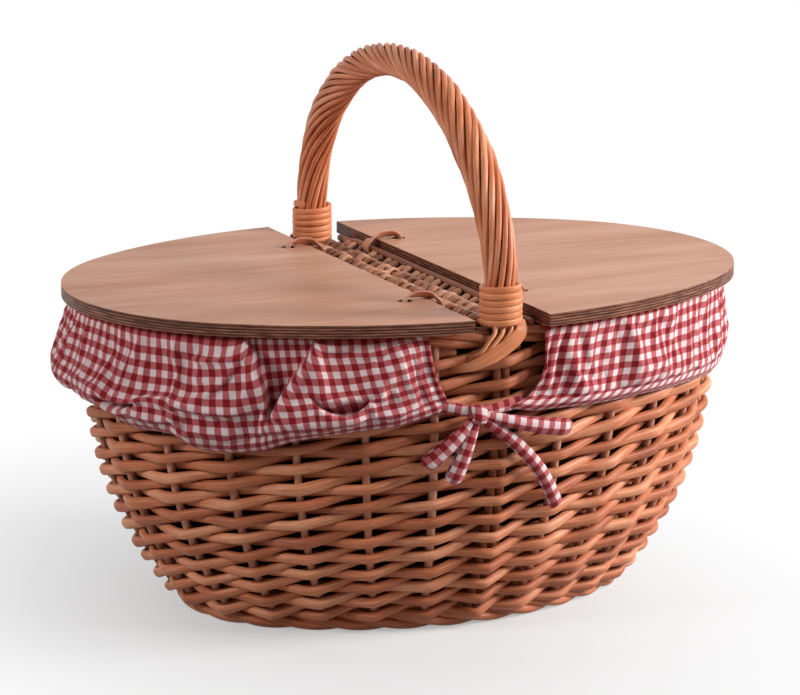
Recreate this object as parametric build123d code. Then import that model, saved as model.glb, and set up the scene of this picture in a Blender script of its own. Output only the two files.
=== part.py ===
from build123d import *
import math
import os

# Oval willow picnic basket with two hinged plywood lids, a woven bridge, a bow handle
# and a checked cloth liner. Millimetres, +Z up, +X along the basket, floor at z = 0.

# Overall sizes
lid_length = 400.0            # both lids closed, tip to tip
lid_width = 300.0
lid_thickness = 7.0
lid_top = 188.0               # floor to the upper face of the lids
rim_length = 384.0            # over the weave, at the border
rim_width = 284.0
base_length = 262.0           # over the foot, on the floor
base_width = 186.0
oval_fullness = 1.107         # end radius against that of a true ellipse
wall_power = 2.7              # how soon the wall turns upright above the foot

# Willow of the wall
stake_count = 26
stake_radius = 2.5
weaver_radius = 2.6
row_pitch = 11.3              # rise from one front pass to the next on a stake
border_radius = 5.0
foot_height = 11.0
foot_width = 10.0

# Willow of the base
base_stick_radius = 2.5
base_stick_pitch = 22.0
base_weaver_radius = 1.8
base_row_pitch = 8.0
base_lift = 1.0               # floor to the underside of the base weave

# Bow handle
bow_radius = 5.5
bow_crown = 308.0             # floor to the centre line at the top
bow_spring = 203.0            # height where the straight legs start to curve
bow_fullness = 1.85           # exponent of the arch, 2 is an ellipse
strand_count = 10
strand_radius = 2.4
strand_lay = 170.0            # length of one full twist
collar_turns = 5
collar_wire_radius = 1.5
collar_pitch = 4.4
lashing_width = 11.0
lashing_thickness = 1.2
lashing_drop = 30.0
lashing_slant = 24.0
lashing_strand_count = 3
lashing_strand_radius = 1.2
lashing_strand_share = 0.5   # length of the thin strands against the strap

# Bridge between the lids
edge_rod_radius = 3.4
core_rod_count = 2
core_rod_radius = 1.6
weft_radius = 1.2
weft_pitch = 5.0
bridge_sink = 2.5             # lid top down to the crest of the bridge weave

# Lid hinges of split willow
hinge_spread = 170.0          # between the two loops of one lid
loop_width = 6.0
loop_thickness = 1.3
hole_radius = 4.0
hole_inset = 13.0             # lid's inner edge to the hole

# Cloth liner
cloth = 1.2
liner_split = 24.0            # half width left open at each handle foot
hem_height = 128.0
fold_count = 20
fold_depth = 4.0
skirt_swell = 7.5             # how far the skirt stands off at its fullest
gather_run = 70.0             # length over which a tied corner draws the skirt in
hem_near = 6.0                # hem corners, to the right and left of the handle
hem_far = 28.0
knot_width = 18.0
knot_height = 14.0
knot_depth = 7.0
tie_width = 10.0
tie_thickness = 1.6

# Clearances
seat = 0.3                    # between pieces that rest on each other
play = 0.4                    # between willow and willow
swing_room = 1.0              # open lid to the collars


def swing_past(post_radius, strand_radius, post_pitch):
    """How far off a strand that weaves round posts bends, to clear them on its slanting runs."""
    need = post_radius + play + strand_radius
    return need / math.sqrt(1 - (2 * need / post_pitch) ** 2)


# Sizes that follow from the ones above
stake_pitch = math.pi * (rim_length + base_width) / 2 / stake_count
weave_swing = swing_past(stake_radius, weaver_radius, stake_pitch)
leg_swing = swing_past(bow_radius, weaver_radius, stake_pitch)
weave_reach = weave_swing + weaver_radius
leg_reach = leg_swing + weaver_radius
lid_bottom = lid_top - lid_thickness
cloth_over_rim = lid_bottom - seat - cloth
border_top = cloth_over_rim - seat
border_z = border_top - border_radius
strand_ring = bow_radius + play + strand_radius
handle_radius = strand_ring + strand_radius
collar_ring = handle_radius + play + collar_wire_radius
collar_outer = collar_ring + collar_wire_radius
hinge_x = collar_outer + swing_room + lid_thickness / 2
hinge_z = lid_bottom + lid_thickness / 2
lid_edge = hinge_x + edge_rod_radius + 2 * seat
hole_x = lid_edge + hole_inset
liner_inset = leg_reach + 2 * seat
skirt_gap = weave_reach + 2 * play
base_swing = swing_past(base_stick_radius, base_weaver_radius, base_stick_pitch)
base_z = base_lift + base_swing + base_weaver_radius
base_top = base_z + base_swing + base_weaver_radius


# An oval of four tangent arcs

class Oval:
    """Four-arc oval; its perimeter fraction starts at the front, -Y, and runs towards +X."""

    def __init__(self, half_length, half_width, end_radius=None):
        self.r = end_radius or oval_fullness * half_width ** 2 / half_length
        self.c = half_length - self.r
        self.side_r = (self.c ** 2 + half_width ** 2 - self.r ** 2) / (2 * (half_width - self.r))
        self.drop = self.side_r - half_width
        self.join = math.atan2(self.drop, self.c)
        self.side_run = self.side_r * (math.pi / 2 - self.join)
        self.quarter = self.side_run + self.r * self.join

    def angle(self, fraction):
        run = (fraction % 1.0) * 4 * self.quarter
        if run > 2 * self.quarter:
            return self.angle(fraction - 0.5) + math.pi
        if run > self.quarter:
            return -self.angle(0.5 - fraction % 1.0)
        if run < self.side_run:
            return run / self.side_r - math.pi / 2
        return (run - self.side_run) / self.r - self.join

    def at(self, angle):
        x, y = math.cos(angle), math.sin(angle)
        if abs(x) >= math.cos(self.join) - 1e-9:
            return Vector(math.copysign(self.c, x) + self.r * x, self.r * y)
        return Vector(self.side_r * x, self.side_r * y - math.copysign(self.drop, y))

    def fraction_at_x(self, x):
        """Fraction of the front point that lies x to the right of the middle."""
        return math.asin(x / self.side_r) * self.side_r / (4 * self.quarter)

    def wire(self, z):
        turns = [-self.join, self.join, math.pi - self.join, math.pi + self.join, 2 * math.pi - self.join]
        edges = []
        for start, end in zip(turns, turns[1:]):
            arc = [self.at(t) + Vector(0, 0, z) for t in (start, (start + end) / 2, end)]
            edges.append(Edge.make_three_point_arc(*arc))
        return Wire(edges)

    def inset(self, amount):
        """The parallel oval that lies inside by amount."""
        return Oval(self.c + self.r - amount, self.side_r - self.drop - amount, self.r - amount)


def oval_plate(oval, z, thickness):
    return Solid.extrude(Face(oval.wire(z)), Vector(0, 0, thickness))


# The wall: its stake line at any height, and points on or beside it

def growth(z):
    return 1 - max(0.0, 1 - z / border_z) ** wall_power


def wall_oval(z):
    base = ((base_length - foot_width) / 2, (base_width - foot_width) / 2)
    rim = (rim_length / 2 - weave_reach, rim_width / 2 - weave_reach)
    return Oval(*[low + (high - low) * growth(z) for low, high in zip(base, rim)])


def wall_slope(z):
    step = 0.5
    above, below = wall_oval(z + step), wall_oval(z - step)
    return (above.r + above.c - below.r - below.c) / (2 * step)


def wall_point(fraction, z, out=0.0):
    """Point on the stake line's surface, moved outwards along the surface's normal."""
    oval = wall_oval(z)
    angle = oval.angle(fraction)
    slope = wall_slope(z)
    lean = math.hypot(1, slope)
    flat = Vector(math.cos(angle), math.sin(angle))
    return oval.at(angle) + Vector(0, 0, z) + (flat - Vector(0, 0, slope)) * (out / lean)


def climb_table(low, high, steps=400):
    """Heights with the length of wall below each, from low to high."""
    table = [(0.0, low)]
    step = (high - low) / steps
    for i in range(steps):
        rise = math.hypot(1, wall_slope(low + (i + 0.5) * step)) * step
        table.append((table[-1][0] + rise, low + (i + 1) * step))
    return table


def height_at(table, run):
    for (run0, z0), (run1, z1) in zip(table, table[1:]):
        if run <= run1:
            return z0 + (z1 - z0) * (run - run0) / (run1 - run0)
    return table[-1][1]


# Rods, strips and groups

def rod(points, radius, sides=6):
    """A straight-sided rod with mitred bends and flat faces."""
    dirs = [(b - a).normalized() for a, b in zip(points, points[1:])]
    guide = Vector(0, 0, 1) if abs(dirs[0].Z) < 0.9 else Vector(1, 0, 0)
    across = dirs[0].cross(guide).normalized()
    along = dirs[0].cross(across)
    spokes = [2 * math.pi * i / sides for i in range(sides)]
    ring = [points[0] + across * (radius * math.cos(a)) + along * (radius * math.sin(a)) for a in spokes]
    rings = [ring]
    for i in range(1, len(points)):
        way = dirs[i - 1]
        normal = way if i == len(dirs) else (way + dirs[i]).normalized()
        ring = [p + way * ((points[i] - p).dot(normal) / way.dot(normal)) for p in ring]
        rings.append(ring)
    loops = [rings[0], rings[-1]]
    for low, high in zip(rings, rings[1:]):
        for i in range(sides):
            j = (i + 1) % sides
            loops.append([low[i], low[j], high[j], high[i]])
    return Solid(Shell([Face(Wire.make_polygon(loop, close=True)) for loop in loops]))


def strip(points, normals, width, thickness):
    """A flat band along points, lying across the normals."""
    sections = []
    last = len(points) - 1
    for i, (point, normal) in enumerate(zip(points, normals)):
        way = (points[min(i + 1, last)] - points[max(i - 1, 0)]).normalized()
        side = normal.cross(way).normalized() * (width / 2)
        depth = normal * (thickness / 2)
        corners = [point + side + depth, point - side + depth, point - side - depth, point + side - depth]
        sections.append(Wire.make_polygon(corners, close=True))
    return Solid.make_loft(sections, ruled=True)


def wall_strip(path, out, width, thickness):
    """A band lying on the outside of the weave; path holds x on the front and the height."""
    points, normals = [], []
    for x, z in path:
        fraction = wall_oval(z).fraction_at_x(x)
        points.append(wall_point(fraction, z, out + thickness / 2))
        normals.append((wall_point(fraction, z, 1) - wall_point(fraction, z)).normalized())
    return strip(points, normals, width, thickness)


def half_turn(shape):
    """The same piece on the other side of the basket."""
    return shape.rotate(Axis.Z, 180)


def spaced(low, high, count):
    return [low + (high - low) * i / (count - 1) for i in range(count)]


# Base: cross sticks, lengthwise weave and the waled foot round them

def make_foot():
    low, high = wall_oval(0), wall_oval(foot_height)
    half = foot_width / 2
    outer = Solid.make_loft([low.inset(-half).wire(0), high.inset(-half).wire(foot_height)], ruled=True)
    inner = Solid.make_loft([low.inset(half).wire(0), high.inset(half).wire(foot_height)], ruled=True)
    return outer - inner


def base_room(margin):
    """The oval inside the foot at the height of the base's underside."""
    return wall_oval(0).inset(foot_width / 2 + margin)


def chord(oval, across, along_x):
    """Half length of the oval's chord at a distance from its middle line."""
    low, high = (-math.pi / 2, 0.0) if along_x else (0.0, math.pi / 2)
    for _ in range(50):
        middle = (low + high) / 2
        point = oval.at(middle)
        short = -point.Y > across if along_x else point.X > across
        low, high = (middle, high) if short else (low, middle)
    return oval.at(low).X if along_x else oval.at(low).Y


def stick_places():
    count = int((base_length / 2 - foot_width) / base_stick_pitch)
    return [base_stick_pitch * i for i in range(-count, count + 1)]


def make_base_sticks():
    room = base_room(seat)
    sticks = []
    for x in stick_places():
        reach = chord(room, abs(x) + base_stick_radius, False)
        sticks.append(rod([Vector(x, -reach, base_z), Vector(x, reach, base_z)], base_stick_radius))
    return sticks


def make_base_weave():
    room = base_room(2 * seat)
    rows = int((base_width / 2 - foot_width - base_weaver_radius) / base_row_pitch)
    strands = []
    for row in range(-rows, rows + 1):
        y = row * base_row_pitch
        reach = chord(room, abs(y) + base_weaver_radius, True)
        passes = [(x, i) for i, x in enumerate(stick_places()) if abs(x) < reach]
        side = [base_swing if (i + row) % 2 else -base_swing for _, i in passes]
        path = [Vector(x, y, base_z + dz) for (x, _), dz in zip(passes, side)]
        spare = min(reach - passes[-1][0], base_stick_pitch / 2)
        dip = 1 - 2 * spare / base_stick_pitch
        start = Vector(passes[0][0] - spare, y, base_z + side[0] * dip)
        end = Vector(passes[-1][0] + spare, y, base_z + side[-1] * dip)
        strands.append(rod([start, *path, end], base_weaver_radius, 4))
    return strands


# Side wall: stakes, one weaver started at each stake, and the border

def stake_line(index, radius):
    """Centre points of a stake, its slanting lower end clear of the foot."""
    dip = radius * foot_lean()
    heights = spaced(foot_height + seat + dip, border_z - border_radius - seat, 11)
    return [wall_point(index / stake_count, z) for z in heights]


def foot_lean():
    slope = wall_slope(foot_height)
    return slope / math.hypot(1, slope)


def is_leg(index):
    return index % (stake_count // 2) == 0


def make_stakes():
    return [rod(stake_line(i, stake_radius), stake_radius, 5) for i in range(stake_count) if not is_leg(i)]


def make_weavers():
    """Each weaver goes in front of one stake and behind the next, half a row higher."""
    climb = climb_table(foot_height, border_z)
    first_z = foot_height + play + weaver_radius + weave_swing * foot_lean()
    last_z = border_z - border_radius - play - weaver_radius
    first = next(run for run, z in climb if z >= first_z)
    last = next(run for run, z in climb if z >= last_z)
    passes = int((last - first) / (row_pitch / 2)) + 1
    weavers = []
    for start in range(stake_count):
        path = []
        for step in range(passes):
            swing = leg_swing if is_leg(start + step) else weave_swing
            out = swing if step % 2 == 0 else -swing
            z = height_at(climb, first + step * row_pitch / 2)
            path.append(wall_point((start + step) / stake_count, z, out))
        weavers.append(rod(path, weaver_radius))
    return weavers


def make_border():
    """The right half of the border, from one handle leg to the other."""
    oval = wall_oval(border_z)
    start = oval.fraction_at_x(bow_radius + play)
    path = [oval.at(oval.angle(f)) + Vector(0, 0, border_z) for f in spaced(start, 0.5 - start, 29)]
    return rod(path, border_radius, 8)


# Handle: bow, twisted strands, wound collars and lashing

def arch_points(count, foot_z):
    """Evenly spaced centre points of the bow above foot_z, front to back."""
    half_span = wall_oval(border_z).at(math.pi / 2).Y
    fine = [Vector(0, -half_span, foot_z)]
    for i in range(201):
        turn = math.pi * i / 200
        y = -math.copysign(abs(math.cos(turn)) ** (2 / bow_fullness), math.cos(turn)) * half_span
        z = bow_spring + (bow_crown - bow_spring) * math.sin(turn) ** (2 / bow_fullness)
        fine.append(Vector(0, y, z))
    fine.append(Vector(0, half_span, foot_z))
    runs = [0.0]
    for a, b in zip(fine, fine[1:]):
        runs.append(runs[-1] + (b - a).length)
    points = []
    for want in spaced(0.0, runs[-1], count):
        i = next((n for n in range(1, len(runs)) if runs[n] >= want - 1e-9), len(runs) - 1)
        share = (want - runs[i - 1]) / (runs[i] - runs[i - 1])
        points.append(fine[i - 1] + (fine[i] - fine[i - 1]) * share)
    return points, runs[-1]


def make_bow():
    arch, _ = arch_points(37, border_z)
    leg = stake_line(0, bow_radius)
    return rod(leg + arch + [half_turn_point(p) for p in reversed(leg)], bow_radius, 8)


def half_turn_point(point):
    return Vector(-point.X, -point.Y, point.Z)


def make_strands():
    arch, length = arch_points(33, border_top + 2 * play)
    strands = []
    for n in range(strand_count):
        path = []
        for i, centre in enumerate(arch):
            way = (arch[min(i + 1, len(arch) - 1)] - arch[max(i - 1, 0)]).normalized()
            outward = Vector(1, 0, 0).cross(way)
            turn = 2 * math.pi * (n / strand_count + length * i / (len(arch) - 1) / strand_lay)
            aside = outward * math.cos(turn) + Vector(1, 0, 0) * math.sin(turn)
            path.append(centre + aside * strand_ring)
        strands.append(rod(path, strand_radius, 5))
    return strands


def biarc(start, start_way, end, end_way):
    """Two tangent arcs between two points with given directions."""
    gap = end - start
    total = start_way + end_way
    square = 2 * (1 - start_way.dot(end_way))
    reach = (-gap.dot(total) + math.sqrt(gap.dot(total) ** 2 + square * gap.dot(gap))) / square
    middle = (start + start_way * reach + end - end_way * reach) * 0.5
    way = middle_way(start, start_way, middle)
    return [Edge.make_tangent_arc(start, start_way, middle), Edge.make_tangent_arc(middle, way, end)]


def middle_way(start, way, end):
    """Direction at the end of the arc that leaves start along way."""
    span = (end - start).normalized()
    return (span * (2 * span.dot(way)) - way).normalized()


def make_collar():
    """One unbroken winding at the front foot of the handle."""
    centre_y = -wall_oval(border_z).at(math.pi / 2).Y
    low = border_top + 2 * play + collar_wire_radius

    def at(turn):
        angle = 2 * math.pi * turn
        x, y = collar_ring * math.cos(angle), collar_ring * math.sin(angle)
        return Vector(x, centre_y + y, low + collar_pitch * turn)

    def way(turn):
        angle = 2 * math.pi * turn
        flat = Vector(-math.sin(angle), math.cos(angle)) * (2 * math.pi * collar_ring)
        return (flat + Vector(0, 0, collar_pitch)).normalized()

    quarters = [i / 4 for i in range(4 * collar_turns + 1)]
    end_run = 2 * collar_wire_radius
    edges = [Edge.make_line(at(0) - way(0) * end_run, at(0))]
    for a, b in zip(quarters, quarters[1:]):
        edges.extend(biarc(at(a), way(a), at(b), way(b)))
    edges.append(Edge.make_line(at(collar_turns), at(collar_turns) + way(collar_turns) * end_run))
    path = Wire(edges)
    print_winding_gap([at(i / 90) for i in range(90 * collar_turns + 1)], 90)
    section = Plane(path @ 0, z_dir=path % 0) * Circle(collar_wire_radius)
    return sweep(section, path=path).solid()


def print_winding_gap(points, per_turn):
    """Least clear gap between turns of the winding, measured on its points."""
    least = min(
        (points[i] - points[j]).length
        for i in range(len(points))
        for j in range(i + per_turn // 2, len(points))
    )
    print("collar winding: least gap to itself", round(least - 2 * collar_wire_radius, 2), "mm")


def make_lashing():
    """Split strap and thin strands that tie the front foot of the handle to the wall."""
    out = leg_reach - 2 * play
    level = lashing_drop / math.hypot(lashing_drop, lashing_slant)

    def slanting(x, share, count):
        return [(x - lashing_slant * t, border_z - lashing_drop * t) for t in spaced(0.0, share, count)]

    solids = [wall_strip(slanting(bow_radius, 1.0, 4), out, lashing_width, lashing_thickness)]
    for n in range(lashing_strand_count):
        beside = lashing_width / 2 + (n + 1) * play + (2 * n + 1) * lashing_strand_radius
        path = slanting(bow_radius - beside / level, lashing_strand_share, 3)
        line = [wall_point(wall_oval(z).fraction_at_x(x), z, out + lashing_strand_radius) for x, z in path]
        solids.append(rod(line, lashing_strand_radius, 5))
    return solids


# Bridge: edge rods that carry the hinges, core rods and weft

def make_edge_rod():
    end_y = wall_oval(border_z).at(math.pi / 2).Y
    end_z = border_top + seat + edge_rod_radius
    bend_y = end_y - 4 * edge_rod_radius
    flat_y = end_y - 8 * edge_rod_radius
    front = [(-end_y - seat, end_z), (-bend_y, end_z), (-flat_y, hinge_z)]
    path = front + [(-y, z) for y, z in reversed(front)]
    return rod([Vector(hinge_x, y, z) for y, z in path], edge_rod_radius, 8)


def core_places():
    edge = hinge_x - edge_rod_radius - seat
    return spaced(-edge, edge, core_rod_count + 2)


def bridge_swing():
    places = core_places()
    return swing_past(core_rod_radius, weft_radius, places[1] - places[0])


def bridge_z():
    return lid_top - bridge_sink - weft_radius - bridge_swing()


def bridge_reach():
    return wall_oval(border_z).at(math.pi / 2).Y - collar_outer - play


def make_core_rods():
    reach = bridge_reach()
    ends = [(x, -reach) for x in core_places()[1:-1]]
    return [rod([Vector(x, y, bridge_z()), Vector(x, -y, bridge_z())], core_rod_radius) for x, y in ends]


def make_weft():
    reach = bridge_reach() - 2 * weft_radius
    count = int(2 * reach / weft_pitch) + 1
    loop_room = loop_width / 2 + weft_radius + play
    strands = []
    for row, y in enumerate(spaced(-reach, reach, count)):
        xs = core_places()
        if abs(abs(y) - hinge_spread / 2) < loop_room:
            short = hinge_x - hinge_loop_radius() - play
            xs = [-short, *xs[1:-1], short]
        path = [Vector(xs[0], y, bridge_z())]
        for i, x in enumerate(xs[1:-1]):
            path.append(Vector(x, y, bridge_z() + (bridge_swing() if (i + row) % 2 else -bridge_swing())))
        path.append(Vector(xs[-1], y, bridge_z()))
        strands.append(rod(path, weft_radius, 4))
    return strands


# Lids and their hinge loops, for the right side

def hinge_loop_radius():
    return lid_thickness / 2 + seat + loop_thickness


def make_lid():
    plate = oval_plate(Oval(lid_length / 2, lid_width / 2), lid_bottom, lid_thickness)
    keep = Box(lid_length, 2 * lid_width, 4 * lid_thickness, align=(Align.MIN, Align.CENTER, Align.CENTER))
    lid = plate & Pos(lid_edge, 0, hinge_z) * keep
    for side in (-1, 1):
        lid -= Pos(hole_x, side * hinge_spread / 2, hinge_z) * Cylinder(hole_radius, 2 * lid_thickness)
    return lid.solid()


def make_hinge_loop(side):
    """A split willow band round the edge rod and through the lid's hole."""
    outer = hinge_loop_radius()
    inner = outer - loop_thickness
    run = hole_x - hinge_x

    def outline(radius, reach):
        box = Rectangle(reach, 2 * radius, align=(Align.MIN, Align.CENTER))
        return Circle(radius) + box

    ring = outline(outer, run + loop_thickness / 2) - outline(inner, run - loop_thickness / 2)
    plane = Plane((hinge_x, side * hinge_spread / 2, hinge_z), x_dir=(1, 0, 0), z_dir=(0, -1, 0))
    return extrude(plane * ring, loop_width / 2, both=True).solid()


# Cloth liner: bag inside, skirt outside, ties at the handle feet

def liner_oval(z, inset):
    return wall_oval(z).inset(inset * math.hypot(1, wall_slope(z)))


def make_bag():
    floor = base_top + seat
    heights = [floor + (cloth_over_rim - floor) * t for t in (0, 0.05, 0.13, 0.25, 0.42, 0.65, 1)]
    outer = Solid.make_loft([liner_oval(z, liner_inset).wire(z) for z in heights], ruled=True)
    inner_heights = [floor + cloth, *heights[1:]]
    inner = Solid.make_loft([liner_oval(z, liner_inset + cloth).wire(z) for z in inner_heights], ruled=True)
    notch = Box(2 * liner_split, 2 * rim_width, 8 * cloth)
    return (outer - inner - Pos(0, 0, cloth_over_rim) * notch).solid()


def skirt_section(z, ends, lift, depth):
    """Closed outline of the folded cloth at one height, on the right half."""
    oval = wall_oval(z)
    turns = spaced(ends[0], ends[1], 2 * fold_count + 1)

    def edge_points(offset):
        points = []
        for i, fraction in enumerate(turns):
            angle = oval.angle(fraction)
            run = min(fraction - ends[0], ends[1] - fraction) * 4 * oval.quarter
            ease = math.sin(math.pi / 2 * min(1.0, run / gather_run))
            swell = lift * ease + (leg_reach - weave_reach) * (1 - ease)
            if i % 2:
                swell += ease * depth * (0.75 + 0.25 * math.sin(2.3 * i)) * (1 if i % 4 == 1 else -1)
            normal = Vector(math.cos(angle), math.sin(angle))
            points.append(oval.at(angle) + normal * (offset + swell) + Vector(0, 0, z))
        return points

    outside, inside = edge_points(skirt_gap + cloth), edge_points(skirt_gap)
    edges = [Edge.make_three_point_arc(*outside[i:i + 3]) for i in range(0, len(outside) - 1, 2)]
    edges.append(Edge.make_line(outside[-1], inside[-1]))
    edges += [Edge.make_three_point_arc(*inside[i - 2:i + 1][::-1]) for i in range(len(inside) - 1, 0, -2)]
    edges.append(Edge.make_line(inside[0], outside[0]))
    return Wire(edges)


def make_skirt():
    """Right half of the skirt, hung over the border and gathered at its hem."""
    drop = cloth_over_rim - hem_height
    sections = []
    for share, swell, depth in ((0, 0, 0), (0.25, 0.6, 0.5), (0.6, 1.0, 1.0), (1, 0.45, 0.75)):
        z = cloth_over_rim - drop * share
        oval = wall_oval(z)
        near = oval.fraction_at_x(liner_split + (hem_near - liner_split) * share)
        far = oval.fraction_at_x(liner_split + (hem_far - liner_split) * share)
        sections.append(skirt_section(z, (near, 0.5 - far), skirt_swell * swell, fold_depth * depth))
    return Solid.make_loft(sections, ruled=True)


def make_rim_cloth():
    """Right half of the band that lies over the border, from the bag to the skirt."""
    outer = wall_oval(cloth_over_rim).inset(-skirt_gap - cloth)
    inner = liner_oval(cloth_over_rim, liner_inset + cloth)
    band = oval_plate(outer, cloth_over_rim, cloth) - oval_plate(inner, cloth_over_rim, cloth)
    keep = Box(rim_length, 2 * rim_width, 8 * cloth, align=(Align.MIN, Align.CENTER, Align.CENTER))
    return (band & Pos(liner_split, 0, cloth_over_rim) * keep).solid()


def knot_x():
    return (hem_near - hem_far) / 2


def tie_strip(start, bend, end, lift):
    """A tie from the knot; its three guide points hold x from the knot and the drop below it."""
    z = hem_height + knot_height / 2
    path = []
    for t in spaced(0.0, 1.0, 9):
        x, drop = [(1 - t) ** 2 * a + 2 * t * (1 - t) * b + t * t * c for a, b, c in zip(start, bend, end)]
        path.append((knot_x() + x, z - drop))
    return wall_strip(path, leg_reach + 2 * play + lift, tie_width, tie_thickness)


def make_knot():
    z = hem_height + knot_height / 2
    path = [(knot_x() - knot_width / 2, z), (knot_x() + knot_width / 2, z)]
    core = wall_strip(path, leg_reach + 2 * play, knot_height, knot_depth)
    return fillet(core.edges(), knot_depth / 5).solid()


def make_bow_loops():
    side = knot_width / 2 + 4 * seat
    lift = knot_depth / 2
    left = tie_strip((-side, 0), (-side - 12, 2), (-side - 22, 30), lift)
    right = tie_strip((side, 0), (side + 20, 4), (side + 46, 10), lift)
    return [left, right]


def make_bow_tails():
    below = knot_height / 2 + 2 * seat
    left = tie_strip((-4, below), (-4, below + 14), (-12, below + 34), 0)
    right = tie_strip((5, below), (6, below + 22), (48, below + 50), 0)
    return [left, right]


# Every named piece, in its place

def pieces():
    right_border, right_skirt = make_border(), make_skirt()
    right_rim, right_lid = make_rim_cloth(), make_lid()
    front_lashing, front_knot = make_lashing(), make_knot()
    front_loops, front_tails = make_bow_loops(), make_bow_tails()
    front_collar, right_rod = make_collar(), make_edge_rod()
    nodes = {
        "base_sticks": make_base_sticks(),
        "base_weave": make_base_weave(),
        "foot_wale": [make_foot()],
        "side_stakes": make_stakes(),
        "side_weave": make_weavers(),
        "rim_border_right": [right_border],
        "rim_border_left": [half_turn(right_border)],
        "handle_bow": [make_bow()],
        "handle_strands": make_strands(),
        "handle_collars": [front_collar, half_turn(front_collar)],
        "handle_lashing_front": front_lashing,
        "handle_lashing_back": [half_turn(s) for s in front_lashing],
        "bridge_edge_rods": [right_rod, half_turn(right_rod)],
        "bridge_core_rods": make_core_rods(),
        "bridge_weave": make_weft(),
        "lid_right": [right_lid],
        "lid_left": [half_turn(right_lid)],
        "liner_bag": [make_bag()],
        "liner_rim_right": [right_rim],
        "liner_rim_left": [half_turn(right_rim)],
        "liner_skirt_right": [right_skirt],
        "liner_skirt_left": [half_turn(right_skirt)],
        "tie_knot_front": [front_knot],
        "tie_knot_back": [half_turn(front_knot)],
        "tie_loops_front": front_loops,
        "tie_loops_back": [half_turn(s) for s in front_loops],
        "tie_tails_front": front_tails,
        "tie_tails_back": [half_turn(s) for s in front_tails],
    }
    for place, side in (("front", -1), ("back", 1)):
        nodes["hinge_loop_right_" + place] = [make_hinge_loop(side)]
        nodes["hinge_loop_left_" + place] = [half_turn(make_hinge_loop(-side))]
    return nodes


os.makedirs("parts", exist_ok=True)
for name, solids in pieces().items():
    export_step(Compound(children=solids), f"parts/{name}.step")
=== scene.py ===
import math

import bpy
import numpy as np
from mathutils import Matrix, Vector, noise


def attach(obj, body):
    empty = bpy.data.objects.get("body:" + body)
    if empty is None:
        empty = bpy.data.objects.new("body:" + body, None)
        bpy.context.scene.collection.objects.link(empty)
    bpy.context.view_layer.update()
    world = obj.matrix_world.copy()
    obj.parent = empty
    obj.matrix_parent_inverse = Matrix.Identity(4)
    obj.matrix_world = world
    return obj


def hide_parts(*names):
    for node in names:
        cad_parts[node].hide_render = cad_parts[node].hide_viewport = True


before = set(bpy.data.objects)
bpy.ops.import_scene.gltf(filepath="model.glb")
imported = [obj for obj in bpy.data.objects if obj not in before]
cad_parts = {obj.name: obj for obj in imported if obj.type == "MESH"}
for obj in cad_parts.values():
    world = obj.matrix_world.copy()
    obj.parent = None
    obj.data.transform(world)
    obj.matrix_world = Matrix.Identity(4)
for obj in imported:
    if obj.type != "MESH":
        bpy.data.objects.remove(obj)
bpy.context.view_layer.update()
rng = np.random.default_rng(26)

# Sizes in millimetres
MM = 0.001
STAKES, STAKE_RADIUS = 26, 2.3
WEAVER_TALL, WEAVER_THICK = 2.95, 2.4           # half sizes of a weaver, squeezed flat by its neighbours
WEAVER_WANDER = 1.5                             # up and down, between its stakes
BEND_STEPS = np.array([-0.5, -0.32, -0.18, -0.09, -0.045, 0, 0.045, 0.09, 0.18, 0.32])  # close at a stake
BEND = 0.985                                    # 1 would be a sharp corner at each stake
ROW_PITCH = 11.3
WEAVE_START, WEAVE_STOP = 3.0, 2.0              # first row above the foot, last row below the border
WEAVE_OUT = 0.7                                 # stakes and weavers stand this far outside the stake line
WEAVE_SWING, LEG_SWING = 4.5, 6.6               # of a weaver to each side, at a stake and at a handle leg
WEAVE_REACH, LEG_REACH = 7.6, 9.7               # outer face of the weave, beside the stake line
BASE, RIM = (126.0, 88.0), (183.6, 133.6)       # half sizes of the stake line, at the floor and the border
RIM_RUN = 1003.0                                # length of the stake line round the border
FULLNESS = 1.107                                # end arcs of the oval against those of an ellipse
WALL_POWER = 2.7                                # how early the wall turns upright
FOOT_HEIGHT = 11.0
BORDER_Z, BORDER_RADIUS, BORDER_TOP = 174.2, 5.0, 179.2
BASE_Z, BASE_SWING = 8.0, 5.2
STICK_RADIUS, STICK_PITCH = 2.5, 22.0
BASE_WEAVER_RADIUS, BASE_ROW_PITCH = 1.8, 8.0
BASE_TOP, BASE_CLEAR = 15.0, 5.0                # top of the base, and its room to the foot's inner side
BOW_RADIUS, BOW_SPRING, BOW_CROWN = 5.5, 203.0, 308.0
BOW_FULLNESS = 1.85, 2.0                        # of the bow's front and back shoulder
# Strand circle along the bow, from front to back
HANDLE_RING = [0, 0.06, 0.25, 0.5, 0.75, 0.94, 1], [7.3, 7.6, 8.9, 7.8, 8.3, 7.5, 7.2]
CORE_SHARE, STRAND_SHARE = 0.77, 0.207          # radii of the bow and of a strand, against the strand circle
STRANDS, STRAND_LAY = 13, 170.0
LEG_ROD_ASIDE, LEG_ROD_RADIUS = 2.7, 2.5        # two rods make each leg of the bow
COLLAR_TURNS, COLLAR_PITCH, COLLAR_RING, COLLAR_LOW = 6, 3.75, 10.7, 181.0
COLLAR_WIDTH, COLLAR_THICKNESS = 3.7, 2.5
HINGE_X, HINGE_Y, HINGE_Z, EDGE_ROD_RADIUS = 18.6, 85.0, 184.5, 3.4
LOOP_WIDTH, LOOP_THICKNESS, LOOP_ROOM = 7.4, 1.2, 5.6
LOOP_TILT = 0.75                                # radians, where a loop crosses the lid's edge
BRIDGE_REACH, BRIDGE_Z, BRIDGE_HALF = 119.1, 179.6, 14.9
WEFT_PITCH, WEFT_MARGIN, WEFT_WAVE = 5.0, 2.4, 9.9
WEFT_REACH, WEFT_SHORT = 14.6, 11.6             # short where a hinge loop passes
LID_BOTTOM = 181.0
LINER_INSET, LINER_LOW_INSET = 13.0, 7.3        # of the bag, below the border and near the base
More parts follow.
